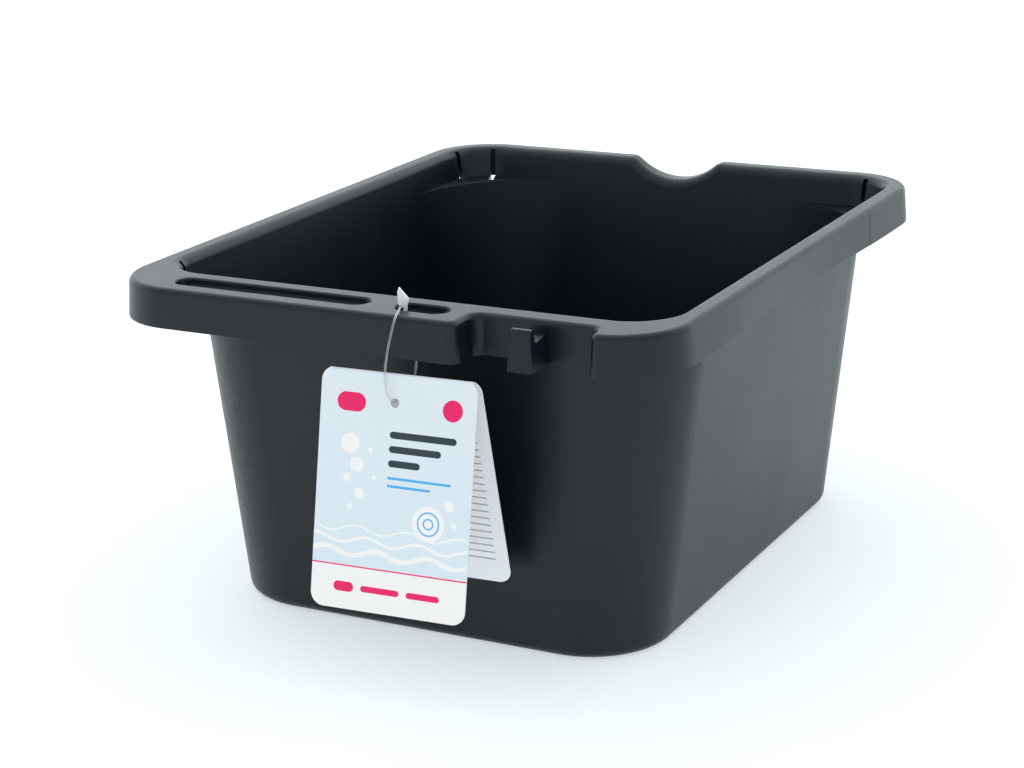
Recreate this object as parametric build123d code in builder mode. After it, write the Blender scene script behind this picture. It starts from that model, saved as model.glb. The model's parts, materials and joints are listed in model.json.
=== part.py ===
from build123d import *
import os
from math import atan, cos, degrees, pi, radians, sin, sqrt, tan

# Small moulded breeding tub for pond fish, with its folded swing tag on a plastic loop.
# Millimetres, +Z up, +Y to the plain rear rim, +X to the right of the slotted front.
# The origin is the middle of the flat base.

os.makedirs("parts", exist_ok=True)

# Overall sizes of the tub
tub_height = 119.3
rim_width = 200.0
rim_length = 248.6
base_width = 159.2
base_length = 198.6

# Walls
wall = 2.0
floor_thickness = 2.2
rim_thickness = 2.0
skirt_thickness = 1.8

# Body corners
base_corner_radius = 28.5
front_corner_radius = 36.6
rear_corner_radius = 48.7
base_edge_radius = 4.0

# Rim and its skirt
side_overhang = 6.1
front_overhang = 17.8
rim_corner_radius = 24.5
skirt_height = 13.4
skirt_spread = 0.9
rim_edge_radius = 2.0
inner_edge_radius = 3.6

# Slotted shelf along the left of the front rim
shelf_reach = 4.3
shelf_end_x = 32.8
shelf_end_radius = 3.0
slot_width = 8.8
slot_inset = 11.6
long_slot_length = 73.0
long_slot_x = -40.3
short_slot_length = 18.6
short_slot_x = 15.7
slot_edge_radius = 0.8

# Recess in the front rim, where the hook stands
recess_end_inset = 23.5
recess_depth = 9.2
recess_corner_radius = 4.0
recess_end_radius = 3.0

# Hook in the recess
hook_left_x = 50.9
hook_top_width = 6.7
hook_base_width = 8.7
hook_top_reach = 10.7
hook_base_reach = 13.8
hook_height = 12.9
hook_saddle_height = 8.3
hook_finger = 2.0
hook_wall = 1.8
hook_edge_radius = 0.7
hook_saddle_radius = 1.2

# Dip in the rear rim
dip_depth = 7.5
dip_radius = 25.3
dip_corner_radius = 5.0

# Corner ledges with their overflow slots
ledge_drop = 11.5
overflow_width = 2.0
overflow_spread = 24.8
overflow_outer = 2.8
overflow_margin = 4.0

# Ribs under the rim
rib_thickness = 1.5
rib_drop = 8.0
side_rib_pitch = 45.0
side_rib_middle = -14.0
side_rib_count = 3
rear_rib_pitch = 80.0

# Swing tag
tag_width = 54.0
tag_length = 76.5
tag_corner_radius = 4.5
card_thickness = 0.5
crease_gap = 0.3
tag_hole_diameter = 3.0
tag_hole_drop = 9.5
tag_hole_x = -1.0
tag_fold_x = 15.1
tag_fold_y = -131.0
tag_fold_z = 101.6
tag_yaw = 3.0
tag_lean = 12.3
tag_opening = 27.8

# Loop that carries the tag, and the snap head that closes it
strand_diameter = 0.7
strand_clearance = 0.6
head_x = 9.6
head_y = -119.4
head_turn = 23.0
head_width = 4.7
head_height = 6.5
head_thickness = 1.6
head_foot_x = -0.9
head_tip_x = -1.2
head_right_shoulder = 2.6
head_left_shoulder = 5.2
head_left_foot = 1.3
head_corner_radius = 0.5
strand_seat_x = -0.1
strand_seat_height = 0.7
head_clearance = 0.4
head_stub_width = 1.2
head_stub_drop = 1.2

# Worked out from the sizes above
half_width = rim_width / 2
recess_end_x = half_width - recess_end_inset
rear_y = rim_length / 2
front_y = -rim_length / 2
shelf_y = front_y - shelf_reach
recess_y = front_y + recess_depth
skirt_bottom = tub_height - skirt_height
skirt_taper = degrees(atan(skirt_spread / skirt_height))
ledge_top = tub_height - ledge_drop
ledge_bottom = ledge_top - wall
collar_corner_radius = rim_corner_radius - side_overhang
top_side = half_width - side_overhang
top_rear = rear_y - side_overhang
top_front = -front_y - front_overhang

# Reach of a selector around the place it looks for
near = wall / 20


def level(bottom, top, z):
    """Size of the tapered body at height z, between its base and its top."""
    return bottom + (top - bottom) * z / tub_height


def side_at(z):
    return level(base_width / 2, top_side, z)


def rear_at(z):
    return level(base_length / 2, top_rear, z)


def front_at(z):
    return level(base_length / 2, top_front, z)


def body_section(z, front_radius, rear_radius, inset):
    """Rounded outline of the body at height z, drawn inside by the inset."""
    side = side_at(z) - inset
    rear = rear_at(z) - inset
    front = front_at(z) - inset
    with BuildSketch(Plane.XY.offset(z)) as section:
        with Locations((0, (rear - front) / 2)):
            Rectangle(2 * side, front + rear)
        corners = section.vertices().group_by(Axis.Y)
        fillet(corners[0], front_radius - inset)
        corners = section.vertices().group_by(Axis.Y)
        fillet(corners[-1], rear_radius - inset)
    return section.sketch


def rim_outline(z, growth):
    """Outline of the rim with its shelf and recess, grown outward."""
    with BuildSketch(Plane.XY.offset(z)) as outline:
        RectangleRounded(rim_width, rim_length, rim_corner_radius)
        with BuildSketch(mode=Mode.PRIVATE) as shelf:
            with Locations(((shelf_end_x - half_width) / 2, shelf_y / 2)):
                Rectangle(half_width + shelf_end_x, -shelf_y)
            shelf_corner = shelf.vertices().group_by(Axis.Y)[0].sort_by(Axis.X)[0]
            fillet(shelf_corner, rim_corner_radius)
        add(shelf.sketch)
        recess_middle = (shelf_end_x + recess_end_x) / 2
        with Locations((recess_middle, (recess_y + shelf_y) / 2 - recess_depth / 2)):
            Rectangle(recess_end_x - shelf_end_x, recess_y - shelf_y + recess_depth, mode=Mode.SUBTRACT)
        ends = outline.vertices().filter_by_position(Axis.X, shelf_end_x - near, recess_end_x + near)
        inner_ends = ends.filter_by_position(Axis.Y, recess_y - near, recess_y + near)
        fillet(inner_ends, recess_corner_radius)
        shelf_ends = outline.vertices().filter_by_position(Axis.X, shelf_end_x - near, shelf_end_x + near)
        fillet(shelf_ends.sort_by(Axis.Y)[0], shelf_end_radius)
        recess_ends = outline.vertices().filter_by_position(Axis.X, recess_end_x - near, recess_end_x + near)
        fillet(recess_ends.sort_by(Axis.Y)[0], recess_end_radius)
        if growth != 0:
            offset(amount=growth)
    return outline.sketch


def is_skirt_face(face):
    """Outer side faces of the rim, which reach down to the skirt's lower edge."""
    box = face.bounding_box()
    middle = face.center()
    across = abs(middle.X) > top_side + wall
    outside = across or middle.Y > top_rear + wall or middle.Y < -top_front - wall
    return box.min.Z < skirt_bottom + near and box.max.Z > dip_bottom and outside


def is_rim_edge(edge):
    """Upper edges of the outer side faces."""
    return edge.bounding_box().min.Z > dip_bottom - rim_thickness / 2


def is_floor_edge(edge):
    box = edge.bounding_box()
    return abs(box.min.Z - floor_thickness) < near and abs(box.max.Z - floor_thickness) < near


def is_inner_face(face):
    """Faces of the cavity that reach up to the rim, inside the middle of the wall."""
    box = face.bounding_box()
    if box.max.Z < plate_bottom - dip_depth or box.min.Z > ledge_top + wall / 2:
        return False
    middle = face.position_at(0.5, 0.5)
    if face.geom_type == GeomType.PLANE:
        middle = face.center(CenterOf.BOUNDING_BOX)
    reach = collar_corner_radius - wall / 2
    across = abs(middle.X) - side_at(middle.Z) + collar_corner_radius
    along = middle.Y - rear_at(middle.Z) if middle.Y > 0 else -middle.Y - front_at(middle.Z)
    along += collar_corner_radius
    if across > 0 and along > 0:
        return sqrt(across**2 + along**2) < reach
    return max(across, along) < reach


def is_inner_edge(edge):
    return edge.bounding_box().min.Z > ledge_top + wall / 2


def is_hook_corner(edge):
    """Outer upright edges of the hook's finger."""
    box = edge.bounding_box()
    return box.size.Z > 0.9 * hook_height and edge.center().Y < recess_y - hook_top_reach + hook_wall / 2


def is_slot_edge(edge):
    box = edge.bounding_box()
    return box.min.Z > tub_height - near and abs(edge.center().Y - slot_y) < slot_width / 2 + near


# Tub: one moulding, from the rim block down to the floor
dip_bottom = tub_height - dip_depth
dip_axis_z = dip_bottom + dip_radius
dip_start_y = top_rear - 4 * wall
dip_wall_y = rear_at(skirt_bottom) - wall / 2
plate_bottom = tub_height - rim_thickness
rib_bottom = plate_bottom - rib_drop
inner_corner_radius = collar_corner_radius - wall
slot_y = shelf_y + slot_inset

hook_start_y = recess_y + skirt_thickness / 4
hook_top_z = skirt_bottom + hook_height
hook_saddle_z = skirt_bottom + hook_saddle_height

with BuildPart() as hook:
    for level_z, width, reach in (
        (skirt_bottom, hook_base_width, hook_base_reach),
        (hook_top_z, hook_top_width, hook_top_reach),
    ):
        with BuildSketch(Plane.XY.offset(level_z)):
            depth = reach + hook_start_y - recess_y
            with Locations((hook_left_x + width / 2, hook_start_y - depth / 2)):
                Rectangle(width, depth)
    loft(ruled=True)
    saddle_start = recess_y - hook_top_reach + hook_finger
    with BuildSketch(Plane.XY.offset(hook_saddle_z)):
        saddle_end = hook_start_y + wall / 2
        with Locations((hook_left_x + hook_base_width / 2, (saddle_start + saddle_end) / 2)):
            Rectangle(2 * hook_base_width, saddle_end - saddle_start)
    extrude(amount=hook_height, mode=Mode.SUBTRACT)
    cross_edges = hook.edges().filter_by(Axis.X)
    saddle_edges = cross_edges.filter_by_position(Axis.Y, saddle_start - near, saddle_start + near)
    fillet(saddle_edges.sort_by(Axis.Z)[0], hook_saddle_radius)
    fillet(hook.edges().filter_by(is_hook_corner), hook_edge_radius)
    fillet(hook.edges().group_by(Axis.Z)[-1], hook_edge_radius)

with BuildPart() as tub:
    # Rim block with its skirt hollowed from below
    extrude(rim_outline(skirt_bottom, skirt_spread), amount=skirt_height, taper=skirt_taper)
    pocket = rim_outline(skirt_bottom, skirt_spread - skirt_thickness)
    extrude(pocket, amount=skirt_height - rim_thickness, taper=skirt_taper, mode=Mode.SUBTRACT)

    # Tapered body, and the collar with tighter corners above it
    loft([
        body_section(0, base_corner_radius, base_corner_radius, 0),
        body_section(ledge_bottom, front_corner_radius, rear_corner_radius, 0),
    ], ruled=True)
    fillet(tub.edges().group_by(Axis.Z)[0], base_edge_radius)
    loft([
        body_section(ledge_bottom, collar_corner_radius, collar_corner_radius, 0),
        body_section(tub_height, collar_corner_radius, collar_corner_radius, 0),
    ], ruled=True)

    # Ribs between the skirt and the wall
    with BuildSketch(Plane.XY.offset(rib_bottom)):
        rib_reach = half_width - skirt_thickness / 2
        for side in (-1, 1):
            rib_start = side_at(rib_bottom) - wall / 2
            with Locations((side * (rib_start + rib_reach) / 2, side_rib_middle)):
                with GridLocations(0, side_rib_pitch, 1, side_rib_count):
                    Rectangle(rib_reach - rib_start, rib_thickness)
        rib_start = rear_at(rib_bottom) - wall / 2
        rib_reach = rear_y - skirt_thickness / 2
        with Locations((0, (rib_start + rib_reach) / 2)):
            with GridLocations(rear_rib_pitch, 0, 2, 1):
                Rectangle(rib_thickness, rib_reach - rib_start)
    extrude(amount=rib_drop + rim_thickness / 2)

    # Thickening under the rear dip, then the dip itself
    with BuildSketch(Plane.XZ.offset(-dip_wall_y)):
        with Locations((0, dip_axis_z)):
            Circle(dip_radius + rim_thickness)
        with Locations((0, plate_bottom - skirt_height / 2 + rim_thickness / 4)):
            Rectangle(2 * dip_radius, skirt_height, mode=Mode.INTERSECT)
    extrude(amount=-(rear_y - skirt_thickness / 2 - dip_wall_y))
    with BuildSketch(Plane.XZ.offset(-dip_start_y)):
        with Locations((0, dip_axis_z)):
            Circle(dip_radius)
    extrude(amount=-(rear_y - dip_start_y + skirt_spread), mode=Mode.SUBTRACT)
    dip_edges = tub.edges().filter_by(Axis.Y)
    dip_corners = dip_edges.filter_by_position(Axis.Z, tub_height - near, tub_height + near)
    fillet(dip_corners.filter_by_position(Axis.X, -dip_radius, dip_radius), dip_corner_radius)

    # Rounded outer edge of the rim
    skirt_faces = tub.faces().filter_by(is_skirt_face)
    fillet(skirt_faces.edges().filter_by(is_rim_edge), rim_edge_radius)

    # Hook on the recess wall, cored from below
    add(hook.part)
    for level_z, width, reach in (
        (skirt_bottom, hook_base_width, hook_base_reach),
        (hook_saddle_z - hook_wall, hook_top_width, hook_top_reach),
    ):
        with BuildSketch(Plane.XY.offset(level_z)):
            core_end = recess_y - skirt_spread
            core_start = recess_y - reach + hook_wall
            with Locations((hook_left_x + width / 2, (core_start + core_end) / 2)):
                Rectangle(width - 2 * hook_wall, core_end - core_start)
    loft(ruled=True, mode=Mode.SUBTRACT)

    # Cavity, with the step from tight collar corners to wide body corners
    loft([
        body_section(floor_thickness, base_corner_radius, base_corner_radius, wall),
        body_section(ledge_top, front_corner_radius, rear_corner_radius, wall),
    ], ruled=True, mode=Mode.SUBTRACT)
    fillet(tub.edges().filter_by(is_floor_edge), base_edge_radius - wall / 2)
    loft([
        body_section(ledge_top, collar_corner_radius, collar_corner_radius, wall),
        body_section(tub_height + wall / 2, collar_corner_radius, collar_corner_radius, wall),
    ], ruled=True, mode=Mode.SUBTRACT)
    inner_faces = tub.faces().filter_by(is_inner_face)
    fillet(inner_faces.edges().filter_by(is_inner_edge), inner_edge_radius)

    # Stadium slots in the shelf
    with BuildSketch(Plane.XY.offset(tub_height)):
        with Locations((long_slot_x, slot_y)):
            SlotOverall(long_slot_length, slot_width)
        with Locations((short_slot_x, slot_y)):
            SlotOverall(short_slot_length, slot_width)
    extrude(amount=-2 * rim_thickness, mode=Mode.SUBTRACT)
    fillet(tub.edges().filter_by(is_slot_edge), slot_edge_radius)

    # Overflow slots, a pair through each corner ledge and up to the rim
    with BuildSketch(Plane.XY.offset(tub_height)):
        for across in (-1, 1):
            for along, big_radius, inner_y in (
                (-1, front_corner_radius - wall, front_at(ledge_top) - wall),
                (1, rear_corner_radius - wall, rear_at(ledge_top) - wall),
            ):
                corner_x = side_at(ledge_top) - wall - inner_corner_radius
                corner_y = inner_y - inner_corner_radius
                ledge_start = inner_corner_radius - (sqrt(2) - 1) * (big_radius - inner_corner_radius)
                slot_start = ledge_start + overflow_margin
                slot_end = inner_corner_radius + overflow_outer
                first_angle = degrees(atan(along / across)) + (0 if across > 0 else 180) - overflow_spread
                with Locations((across * corner_x, along * corner_y)):
                    with PolarLocations((slot_start + slot_end) / 2, 2, first_angle, 4 * overflow_spread):
                        Rectangle(slot_end - slot_start, overflow_width)
    extrude(amount=-(ledge_drop + 1.25 * wall), mode=Mode.SUBTRACT)

tub.part.label = "tub"
export_step(tub.part, "parts/tub.step")

# Swing tag: a folded card with its two leaves hinged at the crease
fold = Vector(tag_fold_x, tag_fold_y, tag_fold_z)
fold_direction = (cos(radians(tag_yaw)), sin(radians(tag_yaw)), 0)


def leaf_plane(lean, inner_offset):
    """Plane of a leaf that hangs from the fold, with the lean of its free end towards the front."""
    across = cos(radians(lean))
    normal = (sin(radians(tag_yaw)) * across, -cos(radians(tag_yaw)) * across, sin(radians(lean)))
    return Plane(origin=fold, x_dir=fold_direction, z_dir=normal).offset(inner_offset)


front_leaf_plane = leaf_plane(tag_lean, crease_gap / 2)
back_leaf_plane = leaf_plane(tag_lean - tag_opening, -crease_gap / 2 - card_thickness)


def leaf_outline():
    """Outline of one leaf below the fold, with its hanging hole."""
    with BuildSketch() as outline:
        with Locations((0, -tag_length / 2)):
            RectangleRounded(tag_width, tag_length, tag_corner_radius)
        with Locations((tag_hole_x, -tag_hole_drop)):
            Circle(tag_hole_diameter / 2, mode=Mode.SUBTRACT)
    return outline.sketch


with BuildPart() as tag_front_leaf:
    with BuildSketch(front_leaf_plane):
        add(leaf_outline())
    extrude(amount=card_thickness)

with BuildPart() as tag_back_leaf:
    with BuildSketch(back_leaf_plane):
        add(leaf_outline())
    extrude(amount=card_thickness)

tag_front_leaf.part.label = "tag_front_leaf"
export_step(tag_front_leaf.part, "parts/tag_front_leaf.step")
tag_back_leaf.part.label = "tag_back_leaf"
export_step(tag_back_leaf.part, "parts/tag_back_leaf.step")

# Snap head of the loop: a spade with a stub that takes the far end of the strand
head_direction = (cos(radians(head_turn)), sin(radians(head_turn)), 0)
head_normal = (sin(radians(head_turn)), -cos(radians(head_turn)), 0)
head_base_z = tub_height + head_clearance
head_plane = Plane(origin=(head_x, head_y, head_base_z), x_dir=head_direction, z_dir=head_normal)
stub_x = head_width / 2 - head_stub_width

with BuildPart() as loop_snap_head:
    with BuildSketch(head_plane.offset(-head_thickness / 2)):
        with BuildLine():
            Polyline(
                (head_foot_x, 0),
                (stub_x + head_stub_width / 2, 0),
                (head_width / 2, head_right_shoulder),
                (head_tip_x, head_height),
                (-head_width / 2, head_left_shoulder),
                (-head_width / 2, head_left_foot),
                close=True,
            )
        outline = make_face()
        fillet(outline.vertices(), head_corner_radius)
        with Locations((stub_x, -head_stub_drop / 2 + head_corner_radius / 2)):
            Rectangle(head_stub_width, head_stub_drop + head_corner_radius)
    extrude(amount=head_thickness)

loop_snap_head.part.label = "loop_snap_head"
export_step(loop_snap_head.part, "parts/loop_snap_head.step")

# Strand of the loop, from the face of the head over the shelf's front edge,
# down before the tag, back through both holes and up behind the skirt to the stub
strand_start = head_plane.from_local_coords(Vector(strand_seat_x, strand_seat_height, head_thickness / 2))
strand_end = head_plane.from_local_coords(Vector(stub_x, -head_stub_drop, 0))
front_hole = front_leaf_plane.from_local_coords(Vector(tag_hole_x, -tag_hole_drop, card_thickness / 2))
back_hole = back_leaf_plane.from_local_coords(Vector(tag_hole_x, -tag_hole_drop, card_thickness / 2))
hole_rise = tag_hole_diameter / 2 - strand_diameter / 2 - strand_clearance
hole_z = (front_hole.Z + back_hole.Z) / 2 + hole_rise
route = [
    strand_start,
    strand_start + Vector(head_normal) * 4.5,
    Vector(13.9, shelf_y - 2.8, tub_height + 0.5),
    Vector(12.3, shelf_y - 3.1, tub_height - 5.7),
    Vector(10.6, shelf_y - 3.4, tub_height - 12.5),
    Vector(10.3, tag_fold_y - 1.9, tag_fold_z - 0.8),
    Vector(11.8, front_hole.Y - 1.6, hole_z + 3.8),
    Vector(14.0, front_hole.Y - 1.6, hole_z),
    Vector(14.2, back_hole.Y + 2.4, hole_z),
    Vector(16.7, back_hole.Y + 2.5, hole_z + 5.8),
    Vector(17.7, back_hole.Y + 2.9, tub_height - 14.7),
    Vector(14.8, strand_end.Y - 3.2, strand_end.Z - 8.1),
    strand_end - Vector(0, 0, 4.4),
    strand_end,
]


def bend_radii(points):
    """Radius at each inner point: 0.45 of the shorter run over the tangent of half the turn."""
    radii = []
    for before, corner, after in zip(points, points[1:], points[2:]):
        shorter = min((corner - before).length, (after - corner).length)
        turn = radians((corner - before).get_angle(after - corner))
        radii.append(0.45 * shorter / tan(turn / 2))
    return radii


radii = bend_radii(route)
with BuildPart() as tag_loop:
    with BuildLine() as path:
        FilletPolyline(*route, radius=radii)
    with BuildSketch(Plane(origin=path.line @ 0, z_dir=path.line % 0)):
        Circle(strand_diameter / 2)
    sweep()

tag_loop.part.label = "tag_loop"
export_step(tag_loop.part, "parts/tag_loop.step")

strand_section = pi * strand_diameter**2 / 4
print("strand radii", [round(radius, 1) for radius in radii])
strand_length = sum(edge.length for edge in path.edges())
print("strand length", round(strand_length, 1), "tube volume", round(tag_loop.part.volume, 2))
print("section times length", round(strand_section * strand_length, 2))
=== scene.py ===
import json
from math import cos, pi, radians, sin

import bmesh
import bpy
from bpy.props import FloatProperty, FloatVectorProperty, PointerProperty
from mathutils import Matrix, Vector
from mathutils.geometry import delaunay_2d_cdt

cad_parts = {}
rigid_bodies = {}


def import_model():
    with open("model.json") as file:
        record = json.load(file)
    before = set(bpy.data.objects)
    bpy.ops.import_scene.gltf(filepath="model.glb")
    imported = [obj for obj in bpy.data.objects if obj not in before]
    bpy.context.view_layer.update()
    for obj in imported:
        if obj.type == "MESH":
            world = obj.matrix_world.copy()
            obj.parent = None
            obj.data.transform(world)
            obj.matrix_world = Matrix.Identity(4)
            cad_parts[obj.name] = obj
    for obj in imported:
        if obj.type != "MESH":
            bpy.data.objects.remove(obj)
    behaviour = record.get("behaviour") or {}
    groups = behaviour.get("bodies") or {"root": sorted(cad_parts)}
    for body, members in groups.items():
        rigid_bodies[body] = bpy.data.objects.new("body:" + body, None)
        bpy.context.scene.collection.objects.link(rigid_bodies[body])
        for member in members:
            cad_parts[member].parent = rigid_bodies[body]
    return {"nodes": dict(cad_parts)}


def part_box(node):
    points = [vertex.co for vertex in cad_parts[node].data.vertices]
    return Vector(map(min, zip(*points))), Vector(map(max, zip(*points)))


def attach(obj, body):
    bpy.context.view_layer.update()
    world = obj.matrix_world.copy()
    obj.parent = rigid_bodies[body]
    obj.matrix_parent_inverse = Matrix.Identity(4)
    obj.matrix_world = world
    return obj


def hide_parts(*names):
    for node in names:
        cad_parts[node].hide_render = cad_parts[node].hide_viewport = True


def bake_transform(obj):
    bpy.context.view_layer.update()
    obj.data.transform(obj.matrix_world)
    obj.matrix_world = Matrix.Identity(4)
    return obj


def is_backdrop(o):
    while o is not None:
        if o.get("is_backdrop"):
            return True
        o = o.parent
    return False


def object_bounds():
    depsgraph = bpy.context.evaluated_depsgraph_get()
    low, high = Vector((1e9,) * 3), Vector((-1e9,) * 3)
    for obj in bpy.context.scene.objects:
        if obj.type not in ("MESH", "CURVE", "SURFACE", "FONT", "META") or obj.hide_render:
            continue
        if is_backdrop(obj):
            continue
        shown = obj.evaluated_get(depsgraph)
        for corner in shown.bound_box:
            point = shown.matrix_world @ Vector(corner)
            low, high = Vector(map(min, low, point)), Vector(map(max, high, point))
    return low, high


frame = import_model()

bl_info = {
    "name": "Moulded tub with swing tag",
    "version": (1, 0, 0),
    "blender": (4, 5, 0),
    "location": "3D View > Sidebar > Tub",
    "description": "Dresses a small black moulded tub, the loop on its rim and its folded swing tag",
    "category": "Object",
}

MM = 0.001
CAD_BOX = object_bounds()

# Top of the rim, read from the tub itself
RIM_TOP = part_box("tub")[1][2]

# Height of the rim's skirt, and how far the rim's sides and the side walls' tops are from the middle
SKIRT_HEIGHT = 13.4 * MM
RIM_SIDE = 100.0 * MM
WALL_TOP_SIDE = 93.9 * MM

# Ends of the recessed stretch on the long sides of the rim
WITNESS_FRONT = -57.0 * MM
WITNESS_REAR = 64.0 * MM

# Saddle of the hook, between its finger and the wall
HOOK_LEFT, HOOK_RIGHT = 50.5 * MM, 60.0 * MM
SADDLE_FRONT, SADDLE_REAR = -123.9 * MM, -114.4 * MM
SADDLE_Z = 114.2 * MM

# The card as the frame has it: width, leaf length, holes, and the place and turn of the fold
CARD_WIDTH = 54.0 * MM
LEAF_LENGTH = 76.5 * MM
CARD_CORNER = 4.5 * MM
HOLE_RADIUS = 1.5 * MM
HOLE_DROP = 9.5 * MM
HOLE_X = -1.0 * MM
FOLD = Vector((15.1, -131.0, 101.6)) * MM
CARD_YAW = radians(3.0)

# Middle and turn of the snap head
HEAD_MIDDLE = Vector((9.6, -119.4, 0.0)) * MM
HEAD_TURN = radians(23.0)

# Control points of the strand in millimetres, the same as the route of its solid
STRAND_ROUTE = (
    (9.825, -120.174, 120.4),
    (11.583, -124.316, 120.4),
    (13.9, -131.4, 119.8),
    (12.3, -131.7, 113.6),
    (10.6, -132.0, 106.8),
    (10.3, -132.9, 100.8),
    (11.8, -135.064, 96.83),
    (14.0, -135.064, 93.03),
    (14.2, -125.732, 93.03),
    (16.7, -125.632, 98.83),
    (17.7, -125.232, 104.6),
    (14.8, -122.151, 110.4),
    (10.659, -118.951, 114.1),
    (10.659, -118.951, 118.5),
)


def colour(name, description, default):
    return FloatVectorProperty(
        name=name, description=description, default=default, subtype="COLOR", size=3, min=0.0, max=1.0)


def length(name, description, default):
    return FloatProperty(name=name, description=description, default=default, min=0.0, unit="LENGTH")


class TubSettings(bpy.types.PropertyGroup):
    plastic: colour("Plastic", "Colour of the moulded plastic", (0.0006, 0.0026, 0.0055))
    roughness: FloatProperty(
        name="Roughness", description="Satin finish of the moulding", default=0.35, min=0.0, max=1.0)
    skirt_bow: length(
        "Skirt bow", "How far the middle of a side skirt is drawn in at its lower edge", 2.4 * MM)
    edge_radius: length("Edge radius", "Radius of the lower edge of the rim's skirt", 0.3 * MM)
    saddle_rise: length("Saddle rise", "How far the hook's saddle rises towards the wall", 1.4 * MM)
    witness_step: length("Witness step", "Depth of the recessed stretch on the long sides", 0.07 * MM)


class LoopSettings(bpy.types.PropertyGroup):
    nylon: colour("Nylon", "Colour of the loop and its snap head", (0.95, 0.96, 0.97))
    head_slimming: FloatProperty(
        name="Head slimming", description="Share by which the head's left half is drawn in",
        default=0.5, max=1.0)
    diameter: length("Diameter", "Thickness of the strand", 0.7 * MM)
    strand_length: length("Length", "Length of the strand from the head and back to it", 75.0 * MM)


class TagSettings(bpy.types.PropertyGroup):
    ground: colour("Ground", "Ground colour of the print", (0.68, 0.78, 0.825))
    accent: colour("Accent", "Accent colour of the print", (0.85, 0.002, 0.12))
    ink: colour("Ink", "Dark ink of the print", (0.022, 0.035, 0.05))
    line_blue: colour("Line blue", "Blue of the fine bars and rings", (0.06, 0.42, 0.80))
    inside: colour("Inside", "Colour of the card's inner face", (0.92, 0.91, 0.93))
    thickness: length("Thickness", "Thickness of the card", 0.4 * MM)
    fold_radius: length("Fold radius", "Radius of the soft fold", 1.0 * MM)
    front_lean: FloatProperty(
        name="Front lean", description="Lean of the front leaf", default=radians(11.7), subtype="ANGLE")
    back_lean: FloatProperty(
        name="Back lean", description="Lean of the back leaf", default=radians(14.9), subtype="ANGLE")
    bow: length("Bow", "How far the middle of a leaf stands out", 0.7 * MM)


class StageSettings(bpy.types.PropertyGroup):
    floor: colour("Floor", "Colour of the floor", (0.53, 0.55, 0.57))
    tint: colour("Tint", "Tint of the light", (0.90, 0.97, 1.0))
    sky: FloatProperty(name="Sky", description="Strength of the even light all round", default=0.95, min=0.0)
    key: FloatProperty(name="Key", description="Power of the large light above", default=2.5, min=0.0)
    lens: FloatProperty(
        name="Lens", description="Focal length in millimetres on a 36 mm sensor", default=84.40)
    azimuth: FloatProperty(
        name="Azimuth", description="Turn of the camera", default=radians(27.48), subtype="ANGLE")
    elevation: FloatProperty(
        name="Elevation", description="Height angle of the camera", default=radians(17.09), subtype="ANGLE")
    roll: FloatProperty(
        name="Roll", description="Roll of the camera", default=radians(-1.32), subtype="ANGLE")
    distance: length("Distance", "Distance from the camera to its target", 0.88201)


class Nodes:
    """Adds nodes to a tree and links them."""

    def __init__(self, tree):
        self.tree = tree

    def add(self, kind, values=(), **settings):
        node = self.tree.nodes.new(kind)
        for setting, value in settings.items():
            setattr(node, setting, value)
        for socket, value in dict(values).items():
            self.put(node.inputs[socket], value)
        return node

    def put(self, socket, value):
        """Links a socket to another one, or gives it a plain value."""
        if isinstance(value, bpy.types.NodeSocket):
            self.tree.links.new(value, socket)
        elif socket.type == "RGBA":
            socket.default_value = (*value, 1.0)
        else:
            socket.default_value = value

    def math(self, operation, first, second=0.0, third=0.0):
        return self.add("ShaderNodeMath", {0: first, 1: second, 2: third}, operation=operation).outputs[0]


class Shader(Nodes):
    """A new material and the patterns that its surface is made from."""

    def __init__(self, name):
        self.material = bpy.data.materials.new(name)
        self.material.use_nodes = True
        super().__init__(self.material.node_tree)
        self.surface = self.tree.nodes["Principled BSDF"]

    def object_place(self):
        return self.add("ShaderNodeTexCoord").outputs["Object"]

    def card_place(self):
        """Millimetres across the flat card and up it, from the lower left corner of its front leaf."""
        place = self.add("ShaderNodeUVMap", uv_map="card").outputs[0]
        split = self.add("ShaderNodeSeparateXYZ", {0: place}).outputs
        across = self.math("MULTIPLY", split[0], CARD_WIDTH / MM)
        up = self.math("MULTIPLY", split[1], 2 * LEAF_LENGTH / MM)
        return across, up

    def mix(self, factor, first, second):
        node = self.add("ShaderNodeMix", data_type="RGBA")
        self.put(node.inputs[0], factor)
        self.put(node.inputs[6], first)
        self.put(node.inputs[7], second)
        return node.outputs[2]

    def noise(self, vector, scale, detail=2.0):
        values = {"Vector": vector, "Scale": scale, "Detail": detail}
        return self.add("ShaderNodeTexNoise", values).outputs["Fac"]

    def drift(self, pattern, by, start):
        """A value that drifts up from its start with a pattern."""
        return self.math("MULTIPLY_ADD", pattern, by, start)

    def near(self, value, middle, reach):
        """One where a value is nearer to its middle than the reach, and nought elsewhere."""
        return self.math("LESS_THAN", self.math("ABSOLUTE", self.math("SUBTRACT", value, middle)), reach)

    def hypotenuse(self, first, second):
        squares = self.math("MULTIPLY_ADD", first, first, self.math("MULTIPLY", second, second))
        return self.math("SQRT", squares)

    def set(self, **values):
        """Sets inputs of the surface, named with underscores for their spaces."""
        for name, value in values.items():
            self.put(self.surface.inputs[name.replace("_", " ")], value)

    def bump(self, height, distance):
        node = self.add("ShaderNodeBump", {"Height": height, "Distance": distance})
        self.set(Normal=node.outputs[0])


def toned(base, share):
    """A colour made darker or lighter by a share."""
    return tuple(share * value for value in base)


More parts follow.
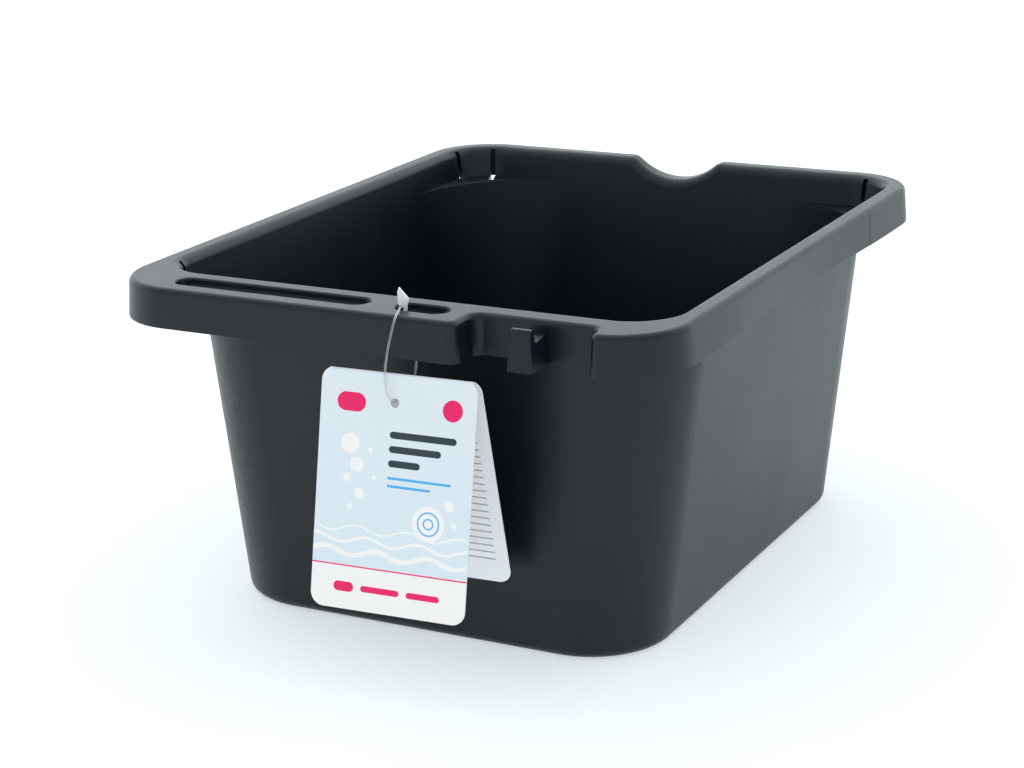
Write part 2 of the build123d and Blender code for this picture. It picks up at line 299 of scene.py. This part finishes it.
def moulded_plastic(settings):
    """Satin black polypropylene with fine grain, faint upright flow marks and uneven sheen."""
    shader = Shader("moulded_plastic")
    place = shader.object_place()
    flow_scale = (260.0, 260.0, 9.0)
    upright = shader.add("ShaderNodeMapping", {"Vector": place, "Scale": flow_scale}).outputs[0]
    flow = shader.noise(upright, scale=1.0, detail=3.0)
    patches = shader.noise(place, scale=22.0, detail=3.0)
    grain = shader.noise(place, scale=2600.0)
    sheen = shader.drift(patches, by=0.10, start=settings.roughness - 0.05)
    sheen = shader.drift(flow, by=0.05, start=sheen)
    plastic = shader.mix(patches, settings.plastic, toned(settings.plastic, 1.5))
    shader.set(Base_Color=plastic, Roughness=sheen, IOR=1.42)
    shader.bump(shader.drift(flow, by=0.35, start=grain), distance=0.02 * MM)
    return shader.material


def nylon(settings, name, clearness):
    """Milky nylon of the snap head, or the clearer drawn nylon of the strand."""
    shader = Shader(name)
    cloud = shader.noise(shader.object_place(), scale=900.0)
    shader.set(
        Base_Color=shader.mix(cloud, toned(settings.nylon, 0.86), settings.nylon),
        Roughness=shader.drift(cloud, by=0.15, start=0.25),
        IOR=1.53,
        Transmission_Weight=clearness,
        Subsurface_Weight=0.28 * (1.0 - clearness),
        Subsurface_Scale=1.0 * MM,
    )
    shader.bump(cloud, distance=0.03 * MM)
    return shader.material


def card_print(settings):
    """Outside of the card: pale blue with bars, bubbles and waves, over a white foot with a thin line."""
    shader = Shader("card_print")
    across, up = shader.card_place()

    def from_point(x, y):
        return shader.hypotenuse(shader.math("SUBTRACT", across, x), shader.math("SUBTRACT", up, y))

    def disc(x, y, radius):
        return shader.math("LESS_THAN", from_point(x, y), radius)

    def ring(x, y, radius, line=0.5):
        return shader.near(from_point(x, y), radius, line / 2)

    def bar(left, right, y, height):
        off = shader.math("ABSOLUTE", shader.math("SUBTRACT", across, (left + right) / 2))
        past = shader.math("MAXIMUM", shader.math("SUBTRACT", off, (right - left - height) / 2), 0.0)
        return shader.math(
            "LESS_THAN", shader.hypotenuse(past, shader.math("SUBTRACT", up, y)), height / 2)

    def wave(y, height, start, swing=1.1, run=18.0):
        angle = shader.math("MULTIPLY_ADD", across, 2 * pi / run, start)
        middle = shader.math("MULTIPLY_ADD", shader.math("SINE", angle), swing, y)
        return shader.near(up, middle, height / 2)

    # Places and sizes of the marks, in millimetres, in the order in which they are laid over each other
    white = (0.92, 0.87, 0.85)
    marks = [
        (wave(y, height, start), white)
        for y, height, start in ((18.5, 1.5, 0.0), (22.5, 1.0, 1.3), (26.0, 0.6, 2.6))
    ]
    marks += [(disc(x, y, radius), white) for x, y, radius in (
        (12.5, 33.0, 1.0), (15.5, 37.5, 1.7), (10.8, 42.0, 1.2), (14.2, 46.5, 2.4), (18.6, 51.5, 0.9),
        (11.5, 53.0, 3.2), (20.5, 43.0, 0.7), (40.0, 30.5, 5.6), (46.8, 36.8, 1.6), (48.8, 31.0, 0.8),
    )]
    marks += [(ring(40.0, 30.5, radius), settings.line_blue) for radius in (3.6, 1.6)]
    bars_left = 25.0
    thick, thin = 2.2, 0.8
    for right, y in ((48.0, 57.0), (43.0, 52.5), (36.0, 48.0)):
        marks.append((bar(bars_left, right, y, thick), settings.ink))
    for right, y in ((47.0, 43.4), (40.0, 40.9)):
        marks.append((bar(bars_left, right, y, thin), settings.line_blue))
    marks.append((bar(6.0, 16.0, 66.0, 6.0), settings.accent))
    marks.append((disc(46.0, 66.5, 3.4), settings.accent))
    foot_top, foot_line, foot_middle = 14.0, 0.45, 7.2
    marks.append((shader.math("LESS_THAN", up, foot_top), white))
    marks.append((bar(-3.0, 60.0, foot_top, foot_line), settings.accent))
    for left, right, height in ((8.0, 15.0, 3.2), (17.5, 31.0, 2.0), (33.5, 45.0, 2.0)):
        marks.append((bar(left, right, foot_middle, height), settings.accent))

    paler_height = 72.0
    paler_ground = (0.75, 0.78, 0.82)
    paper = shader.mix(shader.math("DIVIDE", up, paler_height), settings.ground, paler_ground)
    for mark, ink in marks:
        paper = shader.mix(mark, paper, ink)
    fibre = shader.noise(shader.object_place(), scale=700.0, detail=3.0)
    shader.set(Base_Color=paper, Roughness=shader.drift(fibre, by=0.12, start=0.34), IOR=1.45)
    shader.bump(fibre, distance=0.02 * MM)
    return shader.material


def card_inside(settings):
    """Inner face of the card: pale grey board with plain thin rules on its back leaf."""
    shader = Shader("card_inside")
    across, up = shader.card_place()
    rule_pitch, rule_half = 2.6, 0.09
    block_x, block_half_width = 27.0, 22.5
    block_y, block_half_height = 119.0, 26.0
    line = shader.near(shader.math("FRACT", shader.math("DIVIDE", up, rule_pitch)), 0.5, rule_half)
    beside = shader.near(across, block_x, block_half_width)
    block = shader.near(up, block_y, block_half_height)
    rules = shader.math("MULTIPLY", line, shader.math("MULTIPLY", beside, block))
    rule_depth = 0.75
    rule_ink = (0.16, 0.17, 0.19)
    fibre = shader.noise(shader.object_place(), scale=500.0, detail=4.0)
    board = shader.mix(fibre, toned(settings.inside, 0.94), settings.inside)
    shader.set(
        Base_Color=shader.mix(shader.math("MULTIPLY", rules, rule_depth), board, rule_ink),
        Roughness=shader.drift(fibre, by=0.15, start=0.5),
    )
    shader.bump(fibre, distance=0.03 * MM)
    return shader.material


def card_edge():
    """Cut edge of the card."""
    shader = Shader("card_edge")
    fibre = shader.noise(shader.object_place(), scale=3000.0)
    dark_board, pale_board = (0.62, 0.62, 0.62), (0.85, 0.85, 0.85)
    shader.set(Base_Color=shader.mix(fibre, dark_board, pale_board), Roughness=0.8)
    return shader.material


def floor_paper(settings):
    """Matt paper of the floor, faintly clouded."""
    shader = Shader("floor_paper")
    cloud = shader.noise(shader.object_place(), scale=3.0)
    shader.set(
        Base_Color=shader.mix(cloud, toned(settings.floor, 0.99), settings.floor),
        Roughness=0.9,
        Specular_IOR_Level=0.1,
        Emission_Color=(0.95, 1.0, 1.0),
        Emission_Strength=0.5,
    )
    return shader.material


def link(name, data):
    """New object in the scene with the data given."""
    piece = bpy.data.objects.new(name, data)
    bpy.context.scene.collection.objects.link(piece)
    return piece


def baked(piece, name):
    """Plain mesh piece with the modifiers of another applied, which is then removed."""
    bpy.context.view_layer.update()
    graph = bpy.context.evaluated_depsgraph_get()
    mesh = bpy.data.meshes.new_from_object(piece.evaluated_get(graph))
    source = piece.data
    bpy.data.objects.remove(piece)
    if source.users == 0:
        bpy.data.batch_remove([source])
    mesh.name = name
    return link(name, mesh)


def smooth_by_angle(mesh, angle):
    mesh.shade_smooth()
    mesh.set_sharp_from_angle(angle=angle)


def shade_by_area(mesh, angle):
    """Gives each corner the mean normal, by area, of the faces round it that lie within the angle."""
    mesh.shade_smooth()
    faces = mesh.polygons
    normals = [face.normal.copy() for face in faces]
    areas = [face.area for face in faces]
    around = [[] for _ in mesh.vertices]
    for face in faces:
        for corner in face.vertices:
            around[corner].append(face.index)
    limit = cos(angle)
    extra_share = 0.001
    shaded = []
    for face in faces:
        own = normals[face.index]
        first = areas[face.index] * own * extra_share
        for corner in face.vertices:
            near = [other for other in around[corner] if normals[other].dot(own) > limit]
            total = sum((areas[other] * normals[other] for other in near), first)
            shaded.append(total.normalized())
    mesh.normals_split_custom_set(shaded)


def merged_copy(node, name):
    """Copy of a node's mesh with its triangles joined into flat faces."""
    touching = 0.002 * MM
    flat = radians(0.25)
    mesh = frame["nodes"][node].data.copy()
    mesh.name = name
    mesh.materials.clear()
    shape = bmesh.new()
    shape.from_mesh(mesh)
    bmesh.ops.remove_doubles(shape, verts=shape.verts, dist=touching)
    bmesh.ops.dissolve_limit(shape, angle_limit=flat, verts=shape.verts, edges=shape.edges)
    shape.to_mesh(mesh)
    shape.free()
    return mesh


def in_side_skirt(place):
    """Whether a place is on the skirt of a long side, clear of the wall behind it."""
    wall_gap = 2.0 * MM
    below = 1.0 * MM
    return abs(place.x) > WALL_TOP_SIDE + wall_gap and place.z > RIM_TOP - SKIRT_HEIGHT - below


def cut_skirts(shape, places):
    """Cuts the side skirts square to the Y axis at each place, so that they can be bent."""
    normal = Vector((0.0, 1.0, 0.0))
    touching = 1e-7
    for place in places:
        faces = [face for face in shape.faces if in_side_skirt(face.calc_center_median())]
        edges = {edge for face in faces for edge in face.edges}
        verts = {vert for face in faces for vert in face.verts}
        geometry = faces + list(edges) + list(verts)
        bmesh.ops.bisect_plane(shape, geom=geometry, dist=touching, plane_co=normal * place, plane_no=normal)


def draw_in_skirts(mesh, settings):
    """Bows the side skirts inwards and lowers the stretch between the witness lines."""
    bow_reach = 88 * MM
    cut_pitch = 8 * MM
    witness_ramp = 0.15 * MM
    outer_band = 2.5 * MM
    cuts = round(bow_reach / cut_pitch)
    places = [cut_pitch * index for index in range(-cuts, cuts + 1)]
    places += [end + side * witness_ramp for end in (WITNESS_FRONT, WITNESS_REAR) for side in (-1, 1)]
    shape = bmesh.new()
    shape.from_mesh(mesh)
    cut_skirts(shape, places)
    for vertex in shape.verts:
        x, y, z = vertex.co
        if not in_side_skirt(vertex.co):
            continue
        inward = 0.0
        if abs(y) < bow_reach:
            drop = min(1.0, max(0.0, (RIM_TOP - z) / SKIRT_HEIGHT))
            inward += settings.skirt_bow * drop * cos(pi * y / bow_reach / 2) ** 2
        if WITNESS_FRONT < y < WITNESS_REAR and abs(x) > RIM_SIDE - outer_band:
            inward += settings.witness_step
        vertex.co.x -= inward if x > 0 else -inward
    shape.to_mesh(mesh)
    shape.free()


def ease_edges(mesh, settings):
    """Slopes the hook's saddle up to the wall and rounds the outer lower edge of the skirt."""
    saddle_band = 0.4 * MM
    level_band = 0.01 * MM
    sharp = radians(60)
    shape = bmesh.new()
    shape.from_mesh(mesh)
    for vertex in shape.verts:
        x, y, z = vertex.co
        over_saddle = HOOK_LEFT < x < HOOK_RIGHT and SADDLE_FRONT < y < SADDLE_REAR
        if over_saddle and abs(z - SADDLE_Z) < saddle_band:
            vertex.co.z += settings.saddle_rise * (y - SADDLE_FRONT) / (SADDLE_REAR - SADDLE_FRONT)
    skirt_bottom = RIM_TOP - SKIRT_HEIGHT
    lower = []
    for edge in shape.edges:
        if len(edge.link_faces) != 2:
            continue
        if any(abs(vert.co.z - skirt_bottom) > level_band for vert in edge.verts):
            continue
        side = min(edge.link_faces, key=lambda face: abs(face.normal.z))
        if edge.calc_face_angle() > sharp and side.normal.xy.dot(edge.verts[0].co.xy) > 0:
            lower.append(edge)
    bmesh.ops.bevel(
        shape, geom=lower, offset=settings.edge_radius, segments=2, profile=0.5,
        affect="EDGES", clamp_overlap=False)
    shape.to_mesh(mesh)
    shape.free()


class TUB_OT_moulding(bpy.types.Operator):
    """Adds the moulded tub"""

    bl_idname = "tub_kit.moulding"
    bl_label = "Add moulded tub"

    def execute(self, context):
        settings = context.scene.tub_moulding
        mesh = merged_copy("tub", "moulded_tub")
        draw_in_skirts(mesh, settings)
        ease_edges(mesh, settings)
        shade_by_area(mesh, angle=radians(42))
        piece = link("moulded_tub", mesh)
        mesh.materials.append(moulded_plastic(settings))
        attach(piece, "tub")
        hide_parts("tub")
        return {"FINISHED"}


def strand_curve(settings):
    """Round strand along its route, as one smooth open line."""
    curve = bpy.data.curves.new("loop_strand", "CURVE")
    curve.dimensions = "3D"
    curve.bevel_depth = settings.diameter / 2
    curve.bevel_resolution = 4
    curve.resolution_u = 10
    curve.use_fill_caps = True
    spline = curve.splines.new("NURBS")
    spline.points.add(len(STRAND_ROUTE) - 1)
    for point, place in zip(spline.points, STRAND_ROUTE):
        point.co = (*(Vector(place) * MM), 1.0)
    spline.order_u = 3
    spline.use_endpoint_u = True
    return curve


def slim_head(mesh, share):
    """Draws the left half of the snap head in towards its middle."""
    along = Vector((cos(HEAD_TURN), sin(HEAD_TURN), 0.0))
    for vertex in mesh.vertices:
        left = min(0.0, (vertex.co - HEAD_MIDDLE).dot(along))
        vertex.co -= share * left * along


class TUB_OT_loop(bpy.types.Operator):
    """Adds the strand of the loop and its snap head"""

    bl_idname = "tub_kit.loop"
    bl_label = "Add loop"

    def execute(self, context):
        settings = context.scene.tub_loop
        strand = link("loop_strand", strand_curve(settings))
        strand.data.materials.append(nylon(settings, "clear_nylon", clearness=0.9))
        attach(strand, "loop")
        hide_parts("tag_loop")

        mesh = merged_copy("loop_snap_head", "snap_head")
        slim_head(mesh, settings.head_slimming)
        head = link("snap_head", mesh)
        rounding = head.modifiers.new("rounding", "BEVEL")
        rounding.width = 0.28 * MM
        rounding.segments = 3
        rounding.limit_method = "ANGLE"
        rounding.angle_limit = radians(40)
        head = baked(head, "snap_head")
        smooth_by_angle(head.data, angle=radians(50))
        head.data.materials.append(nylon(settings, "milky_nylon", clearness=0.1))
        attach(head, "loop")
        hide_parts("loop_snap_head")

        tuple(value * MM for value in STRAND_ROUTE[0])
        return {"FINISHED"}


def card_right_edge():
    """Points up the flat card's right edge, which is rounded at both ends and beside the fold."""
    steps = 8
    touching = 0.01 * MM
    middle_x = CARD_WIDTH / 2 - CARD_CORNER
    points = []
    for middle_y, first in (
        (-LEAF_LENGTH + CARD_CORNER, -90),
        (-CARD_CORNER, 0),
        (CARD_CORNER, -90),
        (LEAF_LENGTH - CARD_CORNER, 0),
    ):
        middle = Vector((middle_x, middle_y))
        for index in range(steps + 1):
            angle = radians(first + 90 * index / steps)
            points.append(middle + CARD_CORNER * Vector((cos(angle), sin(angle))))
    off_fold = [point for point in points if abs(point.y) > touching]
    half_way = len(off_fold) // 2
    return off_fold[:half_way] + [Vector((middle_x, 0.0))] + off_fold[half_way:]


def inside_card(place, margin):
    """Whether a place on the flat card keeps a margin from its edge."""
    half = CARD_WIDTH / 2
    y = min(abs(place.y), LEAF_LENGTH)
    from_end = min(y, LEAF_LENGTH - y)
    corner_x = abs(place.x) - half + CARD_CORNER
    corner_y = CARD_CORNER - from_end
    if corner_x > 0 and corner_y > 0:
        return Vector((corner_x, corner_y)).length < CARD_CORNER - margin
    return abs(place.x) < half - margin and LEAF_LENGTH - abs(place.y) > margin


def card_grid(holes):
    """Places across the flat card, in close rows at its fold and wider ones on its leaves."""
    fold_rows, fold_pitch = 8, 0.35 * MM
    leaf_rows, first_row, row_pitch = 29, 3.5, 2.5
    column_pitch = 3 * MM
    edge_margin = 0.8 * MM
    hole_margin = 1.0 * MM
    rows = [fold_pitch * index for index in range(-fold_rows, fold_rows + 1)]
    rows += [side * (first_row + row_pitch * index) * MM for index in range(leaf_rows) for side in (-1, 1)]
    column_gaps = round(CARD_WIDTH / column_pitch)
    columns = [-CARD_WIDTH / 2 + column_pitch * index for index in range(1, column_gaps)]
    for y in rows:
        for x in columns:
            place = Vector((x, y))
            near_hole = any((place - centre).length < HOLE_RADIUS + hole_margin for centre in holes)
            if not near_hole and inside_card(place, edge_margin):
                yield place


def flat_card():
    """Flat card with both leaves, its fold on the X axis and the front leaf towards -Y."""
    right = card_right_edge()
    points = right + [Vector((-point.x, point.y)) for point in reversed(right)]
    edges = [(index, (index + 1) % len(points)) for index in range(len(points))]
    holes = [Vector((HOLE_X, side * HOLE_DROP)) for side in (-1, 1)]
    hole_steps = 32
    for centre in holes:
        start = len(points)
        for index in range(hole_steps):
            angle = 2 * pi * index / hole_steps
            points.append(centre + HOLE_RADIUS * Vector((cos(angle), sin(angle))))
            edges.append((start + index, start + (index + 1) % hole_steps))
    points += card_grid(holes)
    inside_only = 1
    touching = 1e-9
    verts, _, faces, _, _, _ = delaunay_2d_cdt(points, edges, [], inside_only, touching)
    kept = []
    for face in faces:
        middle = sum((verts[index] for index in face), Vector((0.0, 0.0))) / len(face)
        if all((middle - centre).length > HOLE_RADIUS for centre in holes):
            kept.append(face)
    mesh = bpy.data.meshes.new("flat_card")
    mesh.from_pydata([(*vert, 0.0) for vert in verts], [], kept)
    layer = mesh.uv_layers.new(name="card")
    for loop in mesh.loops:
        x, y, _ = mesh.vertices[loop.vertex_index].co
        layer.data[loop.index].uv = (x / CARD_WIDTH + 0.5, y / LEAF_LENGTH / 2 + 0.5)
    return mesh


def bend_tree(material):
    """Geometry nodes that bend a flat card over its fold, from its radius, the two leans and the bow."""
    tree = bpy.data.node_groups.new("card_bend", "GeometryNodeTree")
    tree.interface.new_socket("Geometry", in_out="INPUT", socket_type="NodeSocketGeometry")
    for name in ("Fold radius", "Front lean", "Back lean", "Bow", "Leaf length", "Yaw"):
        tree.interface.new_socket(name, in_out="INPUT", socket_type="NodeSocketFloat")
    tree.interface.new_socket("Fold place", in_out="INPUT", socket_type="NodeSocketVector")
    tree.interface.new_socket("Geometry", in_out="OUTPUT", socket_type="NodeSocketGeometry")
    nodes = Nodes(tree)
    math = nodes.math
    given = nodes.add("NodeGroupInput").outputs
    result = nodes.add("NodeGroupOutput").inputs
    here = nodes.add("GeometryNodeInputPosition").outputs[0]
    flat = nodes.add("ShaderNodeSeparateXYZ", {0: here}).outputs
    across, along = flat[0], flat[1]
    radius = given["Fold radius"]

    # How far the card has turned at each place along it, and what is left there as a straight run
    middle = math("MULTIPLY", math("SUBTRACT", given["Front lean"], given["Back lean"]), 0.5)
    front_turn = math("SUBTRACT", given["Front lean"], pi / 2)
    back_turn = math("SUBTRACT", pi / 2, given["Back lean"])
    front_end = math("MULTIPLY", math("SUBTRACT", front_turn, middle), radius)
    back_end = math("MULTIPLY", math("SUBTRACT", back_turn, middle), radius)
    bent = math("MINIMUM", math("MAXIMUM", along, front_end), back_end)
    turn = math("ADD", math("DIVIDE", bent, radius), middle)
    straight = math("SUBTRACT", along, bent)
    sine = math("SINE", turn)
    cosine = math("COSINE", turn)

    # How far the bow stands out there, as an arch over the leaf
    share = math("DIVIDE", math("ABSOLUTE", straight), given["Leaf length"])
    arch = math("MULTIPLY", math("MULTIPLY", share, math("SUBTRACT", 1.0, share)), 4.0)
    out = math("MULTIPLY", arch, given["Bow"])

    # Where the place comes to, towards the rear and upwards from the fold
    fold_rear = math("MULTIPLY", radius, math("SUBTRACT", sine, math("SINE", middle)))
    leaf_rear = math("MULTIPLY_ADD", straight, cosine, math("MULTIPLY", out, sine))
    rear = math("ADD", fold_rear, leaf_rear)
    fold_rise = math("MULTIPLY", radius, math("SUBTRACT", cosine, math("COSINE", middle)))
    leaf_rise = math("SUBTRACT", math("MULTIPLY", out, cosine), math("MULTIPLY", straight, sine))
    rise = math("ADD", fold_rise, leaf_rise)
    place = nodes.add("ShaderNodeCombineXYZ", {0: across, 1: rear, 2: rise}).outputs[0]
    turning = {"Vector": place, "Angle": given["Yaw"]}
    turned = nodes.add("ShaderNodeVectorRotate", turning, rotation_type="Z_AXIS").outputs[0]
    shift = {0: turned, 1: given["Fold place"]}
    placed = nodes.add("ShaderNodeVectorMath", shift, operation="ADD").outputs[0]
    moving = {"Geometry": given["Geometry"], "Position": placed}
    moved = nodes.add("GeometryNodeSetPosition", moving).outputs[0]
    real = nodes.add("GeometryNodeRealizeInstances", {"Geometry": moved}).outputs[0]
    done = nodes.add("GeometryNodeSetMaterial", {"Geometry": real, "Material": material}).outputs[0]
    nodes.put(result[0], done)
    return tree


def set_inputs(modifier, values):
    """Sets a Geometry Nodes modifier's inputs by their names in the tree."""
    for item in modifier.node_group.interface.items_tree:
        if item.in_out == "INPUT" and item.name in values:
            modifier[item.identifier] = values[item.name]


class TUB_OT_tag(bpy.types.Operator):
    """Adds the folded swing tag"""

    bl_idname = "tub_kit.tag"
    bl_label = "Add swing tag"

    def execute(self, context):
        settings = context.scene.tub_tag
        piece = link("flat_card", flat_card())
        bend = piece.modifiers.new("bend", "NODES")
        bend.node_group = bend_tree(card_print(settings))
        set_inputs(bend, {
            "Fold radius": settings.fold_radius,
            "Front lean": settings.front_lean,
            "Back lean": settings.back_lean,
            "Bow": settings.bow,
            "Leaf length": LEAF_LENGTH,
            "Yaw": CARD_YAW,
            "Fold place": FOLD,
        })
        piece = baked(piece, "bent_card")
        for material in (card_inside(settings), card_edge()):
            piece.data.materials.append(material)
        smooth_by_angle(piece.data, angle=radians(60))
        board = piece.modifiers.new("board", "SOLIDIFY")
        board.thickness = settings.thickness
        board.offset = -1.0
        board.use_even_offset = True
        board.material_offset = 1
        board.material_offset_rim = 2
        piece = baked(piece, "swing_tag_card")
        smooth_by_angle(piece.data, angle=radians(40))
        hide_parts("tag_front_leaf", "tag_back_leaf")
        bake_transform(piece)
        return {"FINISHED"}


def light_world(settings):
    """Even light from all round, stronger from the rear."""
    world = bpy.data.worlds.new("studio")
    world.use_nodes = True
    nodes = Nodes(world.node_tree)
    bright_side = Vector((-0.30, 0.93, 0.10)).normalized()
    bright_share = 1.80
    view = nodes.add("ShaderNodeTexCoord").outputs["Generated"]
    toward = nodes.add("ShaderNodeVectorMath", {0: view, 1: bright_side}, operation="DOT_PRODUCT")
    values = {
        "Value": toward.outputs["Value"],
        "From Min": -0.3,
        "From Max": 0.9,
        "To Min": settings.sky,
        "To Max": bright_share * settings.sky,
    }
    ramp = nodes.add("ShaderNodeMapRange", values, interpolation_type="SMOOTHSTEP")
    background = world.node_tree.nodes["Background"]
    nodes.put(background.inputs["Color"], settings.tint)
    nodes.put(background.inputs["Strength"], ramp.outputs["Result"])
    bpy.context.scene.world = world


def add_softbox(settings):
    """Large soft light above, turned to the middle of the floor."""
    place = Vector((-0.2, 0.3, 1.3))
    side = 1.6
    light = bpy.data.lights.new("top_softbox", "AREA")
    light.shape = "RECTANGLE"
    light.size = side
    light.size_y = side
    light.energy = settings.key
    light.color = settings.tint
    lamp = link("top_softbox", light)
    turn = (-place).to_track_quat("-Z", "Y").to_matrix().to_4x4()
    lamp.matrix_world = Matrix.Translation(place) @ turn


def add_camera(settings):
    """Camera at the photograph's viewing angle, with its slight roll."""
    target = Vector((-14.24, 0.0, 57.64)) * MM
    turn, rise, roll = settings.azimuth, settings.elevation, settings.roll
    back = Vector((sin(turn) * cos(rise), -cos(turn) * cos(rise), sin(rise)))
    right = Vector((0.0, 0.0, 1.0)).cross(back).normalized()
    up = back.cross(right)
    rolled_right = right * cos(roll) + up * sin(roll)
    rolled_up = up * cos(roll) - right * sin(roll)
    axes = Matrix((rolled_right, rolled_up, back)).transposed().to_4x4()
    lens = bpy.data.cameras.new("camera")
    lens.lens = settings.lens
    lens.sensor_width = 36.0
    lens.clip_start = 0.01
    camera = link("camera", lens)
    camera.matrix_world = Matrix.Translation(target + back * settings.distance) @ axes
    bpy.context.scene.camera = camera


class TUB_OT_stage(bpy.types.Operator):
    """Adds the pale floor, the studio light and the camera"""

    bl_idname = "tub_kit.stage"
    bl_label = "Add stage"

    def execute(self, context):
        settings = context.scene.tub_stage
        context.scene.view_settings.view_transform = "Standard"
        reach = 4.0
        corners = [(x * reach, y * reach, 0.0) for x, y in ((-1, -1), (1, -1), (1, 1), (-1, 1))]
        mesh = bpy.data.meshes.new("floor")
        mesh.from_pydata(corners, [], [(0, 1, 2, 3)])
        floor = link("floor", mesh)
        mesh.materials.append(floor_paper(settings))
        floor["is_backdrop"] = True
        light_world(settings)
        add_softbox(settings)
        add_camera(settings)
        return {"FINISHED"}


class TUB_PT_kit(bpy.types.Panel):
    """Lists the pieces of the tub"""

    bl_idname = "TUB_PT_kit"
    bl_label = "Tub"
    bl_space_type = "VIEW_3D"
    bl_region_type = "UI"
    bl_category = "Tub"

    def draw(self, context):
        for operator, group in (
            (TUB_OT_moulding, "tub_moulding"), (TUB_OT_loop, "tub_loop"),
            (TUB_OT_tag, "tub_tag"), (TUB_OT_stage, "tub_stage"),
        ):
            box = self.layout.box()
            settings = getattr(context.scene, group)
            for name in settings.bl_rna.properties.keys():
                if name not in ("rna_type", "name"):
                    box.prop(settings, name)
            box.operator(operator.bl_idname)


SETTINGS = {
    "tub_moulding": TubSettings,
    "tub_loop": LoopSettings,
    "tub_tag": TagSettings,
    "tub_stage": StageSettings,
}
CLASSES = (*SETTINGS.values(), TUB_OT_moulding, TUB_OT_loop, TUB_OT_tag, TUB_OT_stage, TUB_PT_kit)


def register():
    for made in CLASSES:
        bpy.utils.register_class(made)
    for name, group in SETTINGS.items():
        setattr(bpy.types.Scene, name, PointerProperty(type=group))


def unregister():
    for name in SETTINGS:
        delattr(bpy.types.Scene, name)
    for made in reversed(CLASSES):
        bpy.utils.unregister_class(made)


def main():
    register()
    bpy.ops.tub_kit.stage()
    bpy.ops.tub_kit.loop()
    bpy.ops.tub_kit.moulding()
    bpy.ops.tub_kit.tag()
    boxes = {"cad": CAD_BOX, "visual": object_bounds()}
    {name: [list(corner) for corner in box] for name, box in boxes.items()}


if __name__ == "__main__":
    main()
